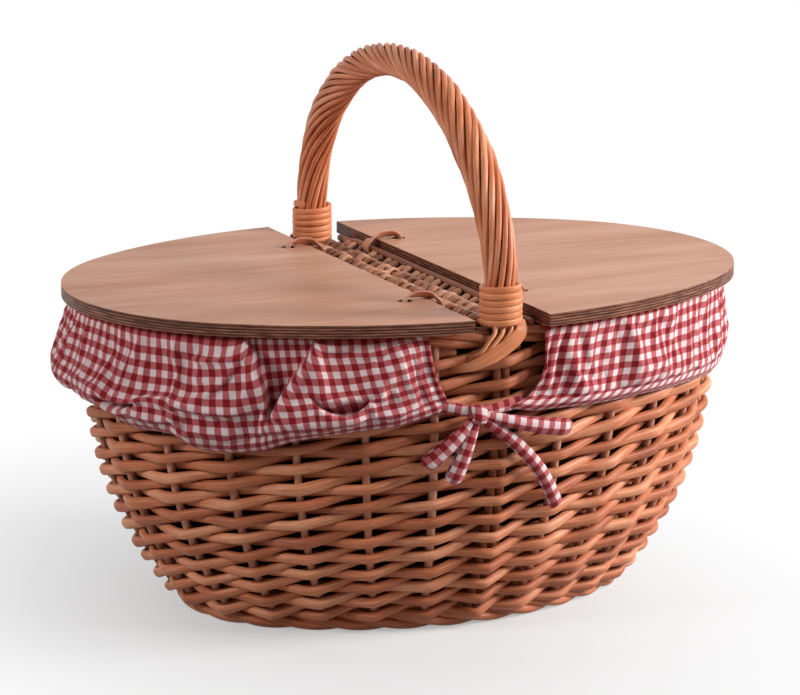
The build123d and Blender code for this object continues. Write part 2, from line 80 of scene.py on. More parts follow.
CLOTH_Z = 180.1                                 # middle of the cloth where it lies over the border
CLOTH, TIE_CLOTH = 0.8, 1.0                     # thickness of the liner, and of its doubled ties
CHECK, THREAD, PLY = 7.4, 0.7, 1.6              # one red and one white square; a yarn; a pair of plies


# The wall's shape: an oval of four arcs that grows from the floor to the border

def oval(half_length, half_width, fraction):
    """x, y and outward direction; the fraction of the way round starts at the front and runs to the right."""
    end = FULLNESS * half_width ** 2 / half_length
    centre = half_length - end
    side = (centre ** 2 + half_width ** 2 - end ** 2) / (2 * (half_width - end))
    drop = side - half_width
    join = np.arctan2(drop, centre)
    side_run = side * (np.pi / 2 - join)
    quarter = side_run + end * join
    turn = 4 * (fraction % 1.0)
    run = quarter * np.select([turn < 1, turn < 2, turn < 3], [turn, 2 - turn, turn - 2], 4 - turn)
    on_side = run < side_run
    angle = np.where(on_side, run / side - np.pi / 2, (run - side_run) / end - join)
    x = np.where(on_side, side * np.cos(angle), centre + end * np.cos(angle))
    y = np.where(on_side, side * np.sin(angle) + drop, end * np.sin(angle))
    right = np.where(turn < 2, 1, -1)
    front = np.where((turn < 1) | (turn >= 3), 1, -1)
    return x * right, y * front, np.cos(angle) * right, np.sin(angle) * front


def wall(fraction, z, out=0.0):
    """Points beside the stake line, moved out along the wall's normal, and that normal."""
    fraction, z, out = np.broadcast_arrays(*[np.asarray(v, float) for v in (fraction, z, out)])
    left = np.clip(1 - z / BORDER_Z, 0, None)
    halves = [low + (high - low) * (1 - left ** WALL_POWER) for low, high in zip(BASE, RIM)]
    slope = (RIM[0] - BASE[0]) * WALL_POWER / BORDER_Z * left ** (WALL_POWER - 1)
    x, y, nx, ny = oval(*halves, fraction)
    normal = np.stack([nx, ny, -slope], -1) / np.hypot(1, slope)[..., None]
    return np.stack([x, y, z], -1) + normal * out[..., None], normal


CLIMB_Z = np.linspace(FOOT_HEIGHT, BORDER_Z, 400)
CLIMB_POINTS = wall(0.25, CLIMB_Z)[0]
CLIMB = np.r_[0, np.cumsum(np.linalg.norm(np.diff(CLIMB_POINTS, axis=0), axis=1))]


def turned(points):
    """The same points after half a turn round the basket's middle."""
    return points * np.array([-1, -1, 1])


def unit(vectors):
    return vectors / np.linalg.norm(vectors, axis=-1, keepdims=True)


def wander(count, size, step, seed):
    """A smooth wobble of about that size along a line."""
    return np.array([size * noise.noise(Vector((i * step, seed, 0.37))) for i in range(count)])


def soft(x, y, seed):
    """A smooth wobble of up to 1 at the places x."""
    return np.array([noise.noise(Vector((a, y, seed))) for a in x])


# Rods and strips

def smooth_path(points, count=40):
    """A smooth line through the points."""
    points = np.asarray(points, float)
    run = np.r_[0, np.cumsum(np.linalg.norm(np.diff(points, axis=0), axis=1))]
    slope = np.gradient(points, run, axis=0)
    want = np.linspace(0, run[-1], count)
    i = np.clip(np.searchsorted(run, want, side="right") - 1, 0, len(run) - 2)
    gap = (run[i + 1] - run[i])[:, None]
    t = ((want - run[i]) / gap[:, 0])[:, None]
    start, end = points[i], points[i + 1]
    return (
        (2 * t ** 3 - 3 * t ** 2 + 1) * start + (t ** 3 - 2 * t ** 2 + t) * gap * slope[i]
        + (3 * t ** 2 - 2 * t ** 3) * end + (t ** 3 - t ** 2) * gap * slope[i + 1]
    )


def round_section(radius, sides=10, power=1.0):
    """A round section; a power under 1 makes it squarer."""
    angle = (np.arange(sides) + 0.5) * 2 * np.pi / sides
    around = np.stack([np.cos(angle), np.sin(angle)], -1)
    return radius * np.sign(around) * abs(around) ** power


def flat_section(width, thickness, sides=14):
    """A flat rod's section with rounded corners."""
    angle = (np.arange(sides) + 0.5) * 2 * np.pi / sides
    c, s = np.cos(angle), np.sin(angle)
    return np.stack([width / 2 * np.sign(c) * abs(c) ** 0.5, thickness / 2 * np.sign(s) * abs(s) ** 0.7], -1)


class Bundle:
    """Rods and strips that make up one piece; each keeps its own tone and its own run of fibres."""

    def __init__(self):
        self.points, self.faces, self.fibre, self.tone = [], [], [], []

    def add(self, path, section, normals, scale=1.0, closed=False, tone=None):
        scale = np.asarray(scale, float)
        scale = np.broadcast_to(scale if scale.ndim == 2 else scale.reshape(-1, 1), (len(path), 2))
        way = np.roll(path, -1, 0) - np.roll(path, 1, 0) if closed else np.gradient(path, axis=0)
        way = unit(way)
        side = unit(np.cross(normals, way))
        up = np.cross(way, side)
        if not closed:
            tip = 0.5 * abs(section).min(0).max() + 0.3
            path = np.vstack([path[:1] - way[:1] * tip, path, path[-1:] + way[-1:] * tip])
            side, up = (np.vstack([v[:1], v, v[-1:]]) for v in (side, up))
            scale = np.vstack([0.6 * scale[:1], scale, 0.6 * scale[-1:]])
        across = scale[:, None] * section[None]
        rings = path[:, None] + across[..., :1] * side[:, None] + across[..., 1:] * up[:, None]
        self._skin(rings, closed)
        along = np.r_[0, np.cumsum(np.linalg.norm(np.diff(path, axis=0), axis=1))] + rng.uniform(0, 900)
        fibre = np.concatenate([np.broadcast_to(along[:, None, None], across[..., :1].shape), across], -1)
        self.fibre.append(fibre.reshape(-1, 3))
        self.tone.append(np.full(rings.shape[0] * rings.shape[1], rng.uniform() if tone is None else tone))

    def _skin(self, rings, closed):
        base = sum(len(p) for p in self.points)
        count, sides = rings.shape[:2]
        index = base + np.arange(count * sides).reshape(count, sides)
        low, high = (index, np.roll(index, -1, 0)) if closed else (index[:-1], index[1:])
        quads = np.stack([low, np.roll(low, -1, 1), np.roll(high, -1, 1), high], -1)
        self.faces += quads.reshape(-1, 4).tolist()
        if not closed:
            self.faces += [index[0, ::-1].tolist(), index[-1].tolist()]
        self.points.append(rings.reshape(-1, 3))

    def piece(self, name, material, *nodes, body="basket", slot="willow"):
        made = mesh_piece(name, np.vstack(self.points), self.faces, material)
        fibre = made.data.attributes.new("fibre", "FLOAT_VECTOR", "POINT")
        fibre.data.foreach_set("vector", np.vstack(self.fibre).ravel())
        tone = made.data.attributes.new("tone", "FLOAT", "POINT")
        tone.data.foreach_set("value", np.concatenate(self.tone))
        settle_in(made, body, slot, *nodes)


def mesh_piece(name, points, faces, material):
    mesh = bpy.data.meshes.new(name)
    mesh.from_pydata((points * MM).tolist(), [], faces)
    mesh.shade_smooth()
    mesh.materials.append(material)
    made = bpy.data.objects.new(name, mesh)
    bpy.context.scene.collection.objects.link(made)
    return made


def settle_in(piece, body, slot, *nodes):
    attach(piece, body)
    if nodes:
        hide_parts(*nodes)
    return piece


# Materials

def rgb(red, green, blue):
    """Linear colour of 8-bit screen values."""
    shares = [value / 255 for value in (red, green, blue)]
    return (*[((v + 0.055) / 1.055) ** 2.4 if v > 0.04 else v / 12.92 for v in shares], 1.0)


class Shader:
    """Short calls for a material's nodes."""

    def __init__(self, name, **finish):
        self.material = bpy.data.materials.new(name)
        self.material.use_nodes = True
        self.tree = self.material.node_tree
        self.surface = self.tree.nodes["Principled BSDF"]
        for socket, value in finish.items():
            self.surface.inputs[socket.replace("_", " ")].default_value = value

    def node(self, kind, output, inputs=None, **settings):
        made = self.tree.nodes.new("ShaderNode" + kind)
        for key, value in settings.items():
            setattr(made, key, value)
        for key, value in (inputs or {}).items():
            if isinstance(value, bpy.types.NodeSocket):
                self.tree.links.new(value, made.inputs[key])
            else:
                made.inputs[key].default_value = value
        return made.outputs[output]

    def attribute(self, name, output):
        return self.node("Attribute", output, attribute_name=name)

    def stretched(self, vector, *scale):
        return self.node("Mapping", "Vector", {"Vector": vector, "Scale": scale})

    def noise(self, vector, scale, detail=3.0, roughness=0.55):
        inputs = {"Vector": vector, "Scale": scale, "Detail": detail, "Roughness": roughness}
        return self.node("TexNoise", "Fac", inputs)

    def math(self, operation, a, b=0.0):
        return self.node("Math", "Value", {0: a, 1: b}, operation=operation)

    def spread(self, value, low, high, to_low=0.0, to_high=1.0):
        return self.node("MapRange", "Result", {0: value, 1: low, 2: high, 3: to_low, 4: to_high})

    def ramp(self, value, *stops):
        made = self.tree.nodes.new("ShaderNodeValToRGB")
        self.tree.links.new(value, made.inputs[0])
        elements = made.color_ramp.elements
        while len(elements) < len(stops):
            elements.new(0.5)
        for element, (place, colour) in zip(elements, stops):
            element.position = place
            element.color = colour
        return made.outputs[0]

    def mix(self, share, a, b, blend="MIX"):
        made = self.tree.nodes.new("ShaderNodeMix")
        made.data_type = "RGBA"
        made.blend_type = blend
        for index, value in ((0, share), (6, a), (7, b)):
            if isinstance(value, bpy.types.NodeSocket):
                self.tree.links.new(value, made.inputs[index])
            else:
                made.inputs[index].default_value = value
        return made.outputs[2]

    def finish(self, colour, roughness=None, bump=None, distance=0.0003, strength=0.5):
        self.tree.links.new(colour, self.surface.inputs["Base Color"])
        if roughness is not None:
            self.tree.links.new(roughness, self.surface.inputs["Roughness"])
        if bump is not None:
            normal = self.node("Bump", "Normal", {"Height": bump, "Distance": distance, "Strength": strength})
            self.tree.links.new(normal, self.surface.inputs["Normal"])
        return self.material


def willow(name, dark, middle, light, spread=1.0, coat=0.06):
    """Varnished peeled willow: every rod has its own tone, fine fibres and darker runs."""
    s = Shader(name, Coat_Weight=coat, Coat_Roughness=0.3, Specular_IOR_Level=0.32)
    fibre = s.attribute("fibre", "Vector")
    tone = s.attribute("tone", "Fac")
    patches = s.noise(s.stretched(fibre, 0.035, 0.1, 0.1), 1.0, 2.0)
    streaks = s.noise(s.stretched(fibre, 0.06, 1.6, 1.6), 1.0, 4.0)
    own = s.math("MULTIPLY", s.math("SUBTRACT", tone, 0.5), 0.5 * spread)
    shade = s.math("ADD", own, s.math("MULTIPLY", patches, 0.55))
    shade = s.math("ADD", shade, s.math("MULTIPLY", s.spread(streaks, 0.3, 0.7), 0.28))
    colour = s.ramp(s.spread(shade, -0.1, 0.9), (0.0, dark), (0.5, middle), (1.0, light))
    ridges = s.noise(s.stretched(fibre, 0.05, 3.2, 3.2), 1.0, 3.0)
    return s.finish(colour, s.spread(streaks, 0.2, 0.8, 0.62, 0.46), ridges, 0.0004, 0.35)


def plywood(name):
    """Rotary-cut face with long grain along the basket, and dark plies on the cut edges; the edges' colours
    are also darkened overall as painted shade.
    """
    s = Shader(name, Specular_IOR_Level=0.22)
    place = s.node("TexCoord", "Object")
    flames = s.noise(s.stretched(place, 5.0, 26.0, 5.0), 1.0, 3.0, 0.6)
    lines = s.noise(s.stretched(place, 14.0, 420.0, 14.0), 1.0, 4.0, 0.6)
    spots = s.noise(s.stretched(place, 9.0, 16.0, 9.0), 1.0, 2.0)
    face = s.ramp(
        s.math("ADD", s.math("MULTIPLY", flames, 0.75), s.math("MULTIPLY", lines, 0.25)),
        (0.3, rgb(172, 116, 88)), (0.5, rgb(192, 139, 112)), (0.7, rgb(208, 160, 136)),
    )
    face = s.mix(s.spread(spots, 0.58, 0.75, 0.0, 0.45), face, rgb(182, 120, 90))
    height = s.node("SeparateXYZ", "Z", {0: place})
    plies = s.math("SINE", s.math("MULTIPLY", height, 2 * math.pi / (PLY * MM)))
    fray = s.noise(s.stretched(place, 90.0, 90.0, 900.0), 1.0, 3.0)
    edge_tone = s.math("ADD", s.math("MULTIPLY", plies, 0.26), s.math("MULTIPLY", fray, 1.1))
    # Edge colours: dark glue lines between the plies, which are real, and a darker range overall, which is
    # painted shade on the lids' cut edges.
    edge = s.ramp(
        s.spread(edge_tone, 0.1, 0.95),
        (0.0, rgb(22, 6, 3)), (0.5, rgb(84, 42, 28)), (1.0, rgb(160, 106, 80)),
    )
    facing = s.node("SeparateXYZ", "Z", {0: s.node("TexCoord", "Normal")})
    colour = s.mix(s.math("GREATER_THAN", s.math("ABSOLUTE", facing), 0.7), edge, face)
    return s.finish(colour, s.spread(lines, 0.2, 0.8, 0.55, 0.42), lines, 0.0003, 0.2)


def gingham(name):
    """Red and white check of 3.7 mm squares, woven from single threads."""
    s = Shader(name, Roughness=0.85, Sheen_Weight=0.25, Sheen_Roughness=0.5, Specular_IOR_Level=0.2)
    s.surface.inputs["Sheen Tint"].default_value = rgb(240, 220, 220)
    place = s.node("UVMap", "UV", uv_map="cloth")
    fuzz = s.noise(s.stretched(place, 900.0, 900.0, 1.0), 1.0, 2.0)
    axes = s.node("SeparateXYZ", "X", {0: place}), s.node("SeparateXYZ", "Y", {0: place})
    bands = []
    threads = []
    for axis in axes:
        wave = s.math("SINE", s.math("MULTIPLY", axis, 2 * math.pi / (CHECK * MM)))
        wave = s.math("ADD", wave, s.math("MULTIPLY", s.math("SUBTRACT", fuzz, 0.5), 0.5))
        bands.append(s.spread(wave, -0.18, 0.18))
        threads.append(s.math("SINE", s.math("MULTIPLY", axis, 2 * math.pi / (THREAD * MM))))
    both = s.math("MULTIPLY", s.math("ADD", bands[0], bands[1]), 0.5)
    colour = s.ramp(both, (0.0, rgb(229, 208, 208)), (0.5, rgb(185, 94, 98)), (1.0, rgb(132, 11, 19)))
    weave = s.math("MULTIPLY", threads[0], threads[1])
    return s.finish(colour, None, s.math("ADD", weave, s.math("MULTIPLY", fuzz, 1.5)), 0.0002, 0.35)


def painted_shade_backing(name):
    """Plain dark brown on the liner's outer side: painted shade, seen through the weave's gaps in place of
    the shadow behind the weave.
    """
    s = Shader(name, Roughness=0.9, Specular_IOR_Level=0.1)
    place = s.node("UVMap", "UV", uv_map="cloth")
    slub = s.noise(s.stretched(place, 300.0, 1500.0, 1.0), 1.0, 3.0)
    return s.finish(s.ramp(slub, (0.3, rgb(44, 22, 14)), (0.7, rgb(66, 36, 24))), None, slub, 0.0002, 0.3)


WILLOW = willow("willow", rgb(88, 34, 16), rgb(190, 108, 70), rgb(255, 190, 148), 0.65)
HANDLE_WILLOW = willow("handle willow", rgb(96, 38, 16), rgb(202, 116, 74), rgb(255, 204, 164), 0.4, 0.15)
STAKE_WILLOW = willow("stake willow", rgb(120, 66, 46), rgb(198, 134, 106), rgb(236, 182, 154), 0.5)
# Painted shade: a darker copy of the willow for rods that lie inside or under others, namely the bow's core,
# the base sticks and the bridge's rods.
SHADED_INNER_WILLOW = willow("inner willow", rgb(80, 34, 16), rgb(148, 84, 52), rgb(196, 126, 86))
BRIDGE_WILLOW = willow("bridge willow", rgb(70, 34, 20), rgb(160, 104, 76), rgb(226, 170, 136), 1.3)
SKEIN = willow("split willow", rgb(136, 62, 30), rgb(212, 124, 76), rgb(252, 188, 144), 0.6, 0.25)
PLYWOOD = plywood("plywood")
GINGHAM = gingham("gingham")
PAINTED_SHADE_BACKING = painted_shade_backing("painted_shade_backing")


# Side wall

def weave_wall():
    """One weaver starts at each stake and climbs half a row from stake to stake, bending hard round each."""
    weave = Bundle()
    high = CLIMB[-1] - BORDER_RADIUS - WEAVE_STOP
    passes = int((high - WEAVE_START) / (ROW_PITCH / 2))
    for start in range(STAKES):
        t = np.r_[-0.75, (np.arange(passes + 1)[:, None] + BEND_STEPS).ravel()]
        legs = [LEG_SWING if (start + k) % (STAKES // 2) == 0 else WEAVE_SWING for k in range(-1, passes + 2)]
        swing = np.interp(t, np.arange(-1, passes + 2), legs)
        bend = np.arcsin(BEND * np.cos(np.pi * t)) / math.asin(BEND)
        run = WEAVE_START + t * ROW_PITCH / 2 + WEAVER_WANDER * soft(1.3 * t, start * 3.1, 0.37)
        z = np.interp(run, CLIMB, CLIMB_Z)
        path, normal = wall((start + t) / STAKES, z, WEAVE_OUT + swing * bend)
        thickness = rng.uniform(0.93, 1.08) + 0.2 * soft(0.3 * t, start * 1.7, 0.37)
        tall = 1.06 - 0.2 * (1 - abs(bend)) ** 2 + 0.16 * soft(1.1 * t, start * 2.3 + 50, 0.37)
        scale = np.stack([WEAVER_TALL * thickness * tall, WEAVER_THICK * thickness], -1)
        weave.add(path, round_section(1.0, 12, 0.78), normal, scale)
    weave.piece("side_weave_willow", WILLOW, "side_weave")


def upright_stakes():
    stakes = Bundle()
    z = np.linspace(FOOT_HEIGHT - 2, BORDER_Z - 2, 40)
    for index in range(STAKES):
        if index % (STAKES // 2):
            path, normal = wall(index / STAKES, z, WEAVE_OUT)
            stakes.add(path, round_section(STAKE_RADIUS), normal, rng.uniform(0.95, 1.08))
    stakes.piece("side_stakes_willow", STAKE_WILLOW, "side_stakes")


def twisted_ring(bundle, fraction, z, ring, radius, strands, turns, closed, out=0.0):
    """Strands twisted round a line that runs along the wall."""
    line, normal = wall(fraction, z, out)
    normal = unit(normal * np.array([1, 1, 0]))
    for n in range(strands):
        angle = 2 * np.pi * (n / strands + turns * np.linspace(0, 1, len(fraction), endpoint=not closed))
        path = line + ring * (normal * np.cos(angle)[:, None] + np.array([0, 0, 1]) * np.sin(angle)[:, None])
        bundle.add(path, round_section(radius), normal, closed=closed)


def foot_wale():
    """Two rounds of three twisted rods: the foot, and the wale inside it over the ends of the base."""
    foot = Bundle()
    around = np.arange(520) / 520
    twisted_ring(foot, around, FOOT_HEIGHT / 2, 2.6, 2.85, 3, -9, True)
    twisted_ring(foot, around, FOOT_HEIGHT, 2.6, 2.6, 3, -12, True, -5.5)
    foot.piece("foot_wale_willow", WILLOW, "foot_wale")


def border(name, node, offset):
    """Half of the border, from one leg of the handle to the other."""
    rods = Bundle()
    reach = (BOW_RADIUS + 2) / RIM_RUN
    twisted_ring(rods, offset + np.linspace(reach, 0.5 - reach, 260), BORDER_Z, 2.4, 2.5, 3, -5, False)
    rods.piece(name, WILLOW, node)


# Base, seen from below

def base_pieces():
    sticks, weave = Bundle(), Bundle()
    up = np.array([0.0, 0.0, 1.0])
    places = STICK_PITCH * np.arange(-5, 6)

    def chord(across, half, other):
        """Half length of a rod that lies across the base, clear of the inner wale."""
        return other * math.sqrt(max(0.0, 1 - (across / half) ** 2.15)) - 7.5

    for x in places:
        reach = chord(abs(x) + STICK_RADIUS, BASE[0] - BASE_CLEAR, BASE[1])
        y = np.linspace(-reach, reach, 12)
        sticks.add(np.stack([0 * y + x, y, 0 * y + BASE_Z], -1), round_section(STICK_RADIUS), up)
    for row in range(-10, 11):
        y = row * BASE_ROW_PITCH
        reach = chord(abs(y) + BASE_WEAVER_RADIUS, BASE[1] - BASE_CLEAR, BASE[0])
        x = np.linspace(-reach, reach, int(reach))
        height = BASE_Z + BASE_SWING * (-1) ** row * np.cos(np.pi * x / STICK_PITCH)
        path = np.stack([x, 0 * x + y, height], -1)
        weave.add(path, round_section(BASE_WEAVER_RADIUS, 8), up)
    sticks.piece("base_sticks_willow", SHADED_INNER_WILLOW, "base_sticks")
    weave.piece("base_weave_willow", WILLOW, "base_weave")


# Handle

def arch(foot_z, step=2.5):
    """Centre line of the bow from the front foot to the back one, evenly spaced."""
    turn = np.linspace(0, np.pi, 400)
    power = 2 / np.where(turn < np.pi / 2, *BOW_FULLNESS)
    y = -np.sign(np.cos(turn)) * abs(np.cos(turn)) ** power * RIM[1]
    z = BOW_SPRING + (BOW_CROWN - BOW_SPRING) * np.clip(np.sin(turn), 0, 1) ** power
    y, z = np.r_[-RIM[1], y, RIM[1]], np.r_[foot_z, z, foot_z]
    run = np.r_[0, np.cumsum(np.hypot(np.diff(y), np.diff(z)))]
    want = np.linspace(0, run[-1], int(run[-1] / step))
    line = np.stack([0 * want, np.interp(want, run, y), np.interp(want, run, z)], -1)
    outward = np.cross(np.array([1.0, 0, 0]), unit(np.gradient(line, axis=0)))
    return line, outward, want


def handle():
    """The bow with its legs in the wall, the strands twisted round it and the collars wound at its feet."""
    bow, strands, collars = Bundle(), Bundle(), Bundle()
    line, outward, run = arch(BORDER_Z)
    leg, leg_normal = wall(0.0, np.linspace(FOOT_HEIGHT + 1, BORDER_Z - 2, 30))
    bow.add(line, round_section(CORE_SHARE), outward, np.interp(run / run[-1], *HANDLE_RING))
    for aside in (-LEG_ROD_ASIDE, LEG_ROD_ASIDE):
        place = leg + np.array([aside, 0, 0]) + WEAVE_OUT * leg_normal
        bow.add(place, round_section(LEG_ROD_RADIUS), leg_normal)
        bow.add(turned(place), round_section(LEG_ROD_RADIUS), turned(leg_normal))
    line, outward, run = arch(BORDER_TOP + 1)
    across = np.array([1.0, 0, 0])
    turns = (run - 0.4 * run[-1] * np.sin(2 * np.pi * run / run[-1]) / (2 * np.pi)) / STRAND_LAY
    for n in range(STRANDS):
        angle = 2 * np.pi * (n / STRANDS + turns) + wander(len(run), 0.09, 0.05, n * 5.3)
        ring = np.interp(run / run[-1], *HANDLE_RING) + wander(len(run), 0.5, 0.04, n * 2.9 + 40)
        radial = outward * np.cos(angle)[:, None] + across * np.sin(angle)[:, None]
        thickness = rng.uniform(0.95, 1.08) + wander(len(run), 0.1, 0.03, n * 1.3 + 80)
        strands.add(line + radial * ring[:, None], round_section(STRAND_SHARE), radial, thickness * ring)
    turn = np.linspace(-0.1, COLLAR_TURNS + 0.1, 46 * COLLAR_TURNS)
    radial = np.stack([np.cos(2 * np.pi * turn), np.sin(2 * np.pi * turn), 0 * turn], -1)
    tucked = np.interp(turn, [0, 0.12, COLLAR_TURNS - 0.12, COLLAR_TURNS], [3.0, 0, 0, 3.0])
    winding = np.array([0, -RIM[1], COLLAR_LOW]) + (COLLAR_RING - tucked)[:, None] * radial
    winding[:, 2] += COLLAR_PITCH * turn + wander(len(turn), 0.9, 0.04, 3.0)
    section = flat_section(COLLAR_WIDTH, COLLAR_THICKNESS)
    for place, normals in ((winding, radial), (turned(winding), turned(radial))):
        collars.add(place, section, normals, 1 + wander(len(turn), 0.1, 0.05, 9.0), tone=0.55)
    bow.piece("handle_bow_willow", SHADED_INNER_WILLOW, "handle_bow")
    strands.piece("handle_strands_willow", HANDLE_WILLOW, "handle_strands")
    collars.piece("handle_collars_skein", SKEIN, "handle_collars", slot="skein")


def lashing(name, node, back):
    """Split strap and thin strands that come out of the collar and run down under the weave."""
    ties = Bundle()

    def laid(guide):
        """A path over the wall; guide points hold x, height and lift off the weave."""
        x, z, lift = smooth_path(guide, 30).T
        path, normal = wall(x / RIM_RUN, z, LEG_REACH + lift)
        return (turned(path), turned(normal)) if back else (path, normal)

    strap = [
        (8, 184, -3), (7.5, 179.5, 0.4), (3.9, 175, 1.4), (-3.8, 169.5, 1.2),
        (-13, 164.5, 0.6), (-20, 161, -1.5), (-29, 158.5, -9),
    ]
    path, normal = laid(strap)
    width = np.interp(np.linspace(0, 1, 30), [0, 0.2, 0.5, 1], [0.8, 1.0, 1.1, 0.45])
    ties.add(path, flat_section(8.0, 1.7), normal, np.stack([width, 0 * width + 1], -1), tone=0.6)
    for n in range(3):
        x = 3.0 - 4.6 * n
        guide = [
            (x, 183, -2), (x - 2, 178, 0), (x - 5, 174.5, 0.4), (x - 9, 171 - n, 0), (x - 14, 167 - n, -6),
        ]
        path, normal = laid(guide)
        ties.add(path, round_section(1.25, 8), normal, tone=0.95)
    ties.piece(name, SKEIN, node, slot="skein")


# Bridge between the lids

def bridge():
    """Edge rods that the lids hinge on, core rods, and a weft of short rods over and under them."""
    edges, cores, weft = Bundle(), Bundle(), Bundle()
    up = np.array([0.0, 0.0, 1.0])
    y = np.linspace(-RIM[1], RIM[1], 90)
    lift = np.interp(abs(y), [RIM[1] - 27, RIM[1] - 14], [HINGE_Z, BORDER_TOP + 0.3 + EDGE_ROD_RADIUS])
    for x in (-HINGE_X, HINGE_X):
        path = np.stack([0 * y + x, y, lift - 2.0], -1)
        # Painted shade: the right edge rod gets a dark tone and the left one a light tone.
        edges.add(path, round_section(2.3), up, 1 + wander(90, 0.16, 0.1, x), tone=0.1 if x > 0 else 0.8)
    y = np.linspace(-BRIDGE_REACH, BRIDGE_REACH, 60)
    for x in np.linspace(-BRIDGE_HALF, BRIDGE_HALF, 4)[1:3]:
        cores.add(np.stack([0 * y + x, y, 0 * y + BRIDGE_Z], -1), round_section(1.6), up)
    end = BRIDGE_REACH - WEFT_MARGIN
    rows = int(2 * end / WEFT_PITCH) + 1
    for row, y in enumerate(np.linspace(-end, end, rows)):
        reach = WEFT_SHORT if abs(abs(y) - HINGE_Y) < LOOP_ROOM else WEFT_REACH
        x = np.linspace(-reach, reach, 40)
        height = BRIDGE_Z - 0.4 + rng.uniform(2.6, 3.6) * (-1) ** row * np.sin(np.pi * x / WEFT_WAVE)
        skew = rng.uniform(-0.09, 0.09) * x + wander(40, 2.6, 0.1, row * 1.9)
        path = np.stack([x, y + skew, height], -1)
        weft.add(path, flat_section(4.9, 2.6, 10), up, 1 + wander(40, 0.5, 0.12, row * 2.3))
    edges.piece("bridge_edge_rods_willow", SHADED_INNER_WILLOW, "bridge_edge_rods")
    cores.piece("bridge_core_rods_willow", SHADED_INNER_WILLOW, "bridge_core_rods")
    weft.piece("bridge_weave_willow", BRIDGE_WILLOW, "bridge_weave")


# Lids, which keep their solids, and the strips they hinge on

def lids():
    for side in ("right", "left"):
        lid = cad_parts["lid_" + side]
        lid.data.materials.clear()
        lid.data.materials.append(PLYWOOD)
        soften = lid.modifiers.new("eased edges", "BEVEL")
        soften.width = 0.7 * MM
        soften.segments = 2
        soften.limit_method = "ANGLE"
        for end in ("front", "back"):
            hinge_strip(side, end)


def hinge_strip(side, end):
    """A split strip through the lid's hole, over its edge, round the bridge's edge rod and back below."""
    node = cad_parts[f"hinge_loop_{side}_{end}"]
    corners = np.array([node.matrix_world @ Vector(corner) for corner in node.bound_box]) / MM
    y = corners[:, 1].mean()
    sign = 1 if side == "right" else -1
    guide = [
        (36.2, 184.5), (36.0, 188.2), (34, 190.2), (29, 191.2), (24, 190.8), (19.5, 189.2), (15.6, 187.2),
        (14.1, 184.5), (15.2, 181.2), (18.6, 179.9), (24, 179.7), (31, 179.7), (35, 180.4), (36.2, 183.5),
    ]
    count = 64
    x, z = smooth_path(guide, count).T
    path = np.stack([sign * x, y + wander(count, 1.0, 0.08, sign * 3 + y), z], -1)
    normals = np.cross(unit(np.gradient(path, axis=0)), np.array([0, sign, 0]))
    share = np.linspace(0, 1, count)
    tilt = LOOP_TILT * np.interp(share, [0.05, 0.185, 0.35, 0.435], [0, 1, 1, 0])[:, None]
    normals = normals * np.cos(tilt) - np.array([0, 1, 0]) * np.sin(tilt)
    band = Bundle()
    width = 1 + wander(count, 0.25, 0.06, sign * 5 + y)
    section = flat_section(LOOP_WIDTH, LOOP_THICKNESS)
    band.add(path, section, normals, np.stack([width, 0 * width + 1], -1), tone=0.7)
    band.piece(f"hinge_strip_{side}_{end}", STAKE_WILLOW, node.name, body="lid_" + side, slot="skein")


# Cloth

def grid_faces(rows, columns, wrap=False):
    index = np.arange(rows * columns).reshape(rows, columns)
    after = np.roll(index, -1, 1) if wrap else index[:, 1:]
    before = index if wrap else index[:, :-1]
    quads = np.stack([before[:-1], after[:-1], after[1:], before[1:]], -1)
    return quads.reshape(-1, 4).tolist()


def cloth_piece(name, points, flat, *nodes):
    """A cloth grid; flat holds the place of every point on the cut cloth, in millimetres."""
    rows, columns = points.shape[:2]
    made = mesh_piece(name, points.reshape(-1, 3), grid_faces(rows, columns), GINGHAM)
    layer = made.data.uv_layers.new(name="cloth")
    corners = np.zeros(len(made.data.loops), int)
    made.data.loops.foreach_get("vertex_index", corners)
    layer.data.foreach_set("uv", (flat.reshape(-1, 2)[corners] * MM).ravel())
    return settle_in(made, "basket", "gingham", *nodes)


def thicken(piece, amount=CLOTH, smooth=1):
    rounding = piece.modifiers.new("smooth", "SUBSURF")
    rounding.levels = rounding.render_levels = smooth
    solid = piece.modifiers.new("cloth thickness", "SOLIDIFY")
    solid.thickness = amount * MM
    solid.offset = 0.0


def cut_size(points):
    """Places on the cut cloth: runs measured along the rows and down the columns."""
    along = np.linalg.norm(np.diff(points, axis=1), axis=2).mean(0)
    down = np.linalg.norm(np.diff(points, axis=0), axis=2).mean(1)
    u, v = np.r_[0, np.cumsum(along)], np.r_[0, np.cumsum(down)]
    return np.stack(np.meshgrid(u, v), -1)


def liner_bag():
    """The bag inside: wall and floor, with soft upright creases."""
    fraction = np.linspace(0, 1, 221)
    turn = 2 * np.pi * fraction
    heights = np.r_[np.linspace(CLOTH_Z, 30, 24), np.linspace(26, BASE_TOP + 1.2, 5)]
    rows = []
    for z in heights:
        crease = [noise.noise(Vector((40 * math.cos(a), 40 * math.sin(a), z / 60))) for a in turn]
        share = np.clip((z - 20) / 60, 0, 1)
        across = abs(wall(fraction, z)[0][:, 0])
        inset = np.interp(z - 0.2 * across, [20, 50], [LINER_LOW_INSET, LINER_INSET])
        top = np.where(across < 24, z - 6 * np.clip((z - 170) / 10, 0, 1), z)
        rows.append(wall(fraction, top, -inset - share * (1.0 + np.array(crease)))[0])
    lowest = rows[-1]
    for share in np.linspace(0.92, 0.02, 14):
        rows.append(lowest * np.array([share, share, 1]))
    points = np.stack(rows)
    flat = cut_size(points[:len(heights)])
    spread = points[len(heights):, :, :2] + np.array([300.0, 600.0])
    made = cloth_piece("liner_bag_cloth", points, np.concatenate([flat, spread]), "liner_bag")
    # The outer side takes the painted-shade brown, so the weave's gaps show dark.
    made.data.materials.append(PAINTED_SHADE_BACKING)
    thicken(made)
    made.modifiers["cloth thickness"].material_offset = 1


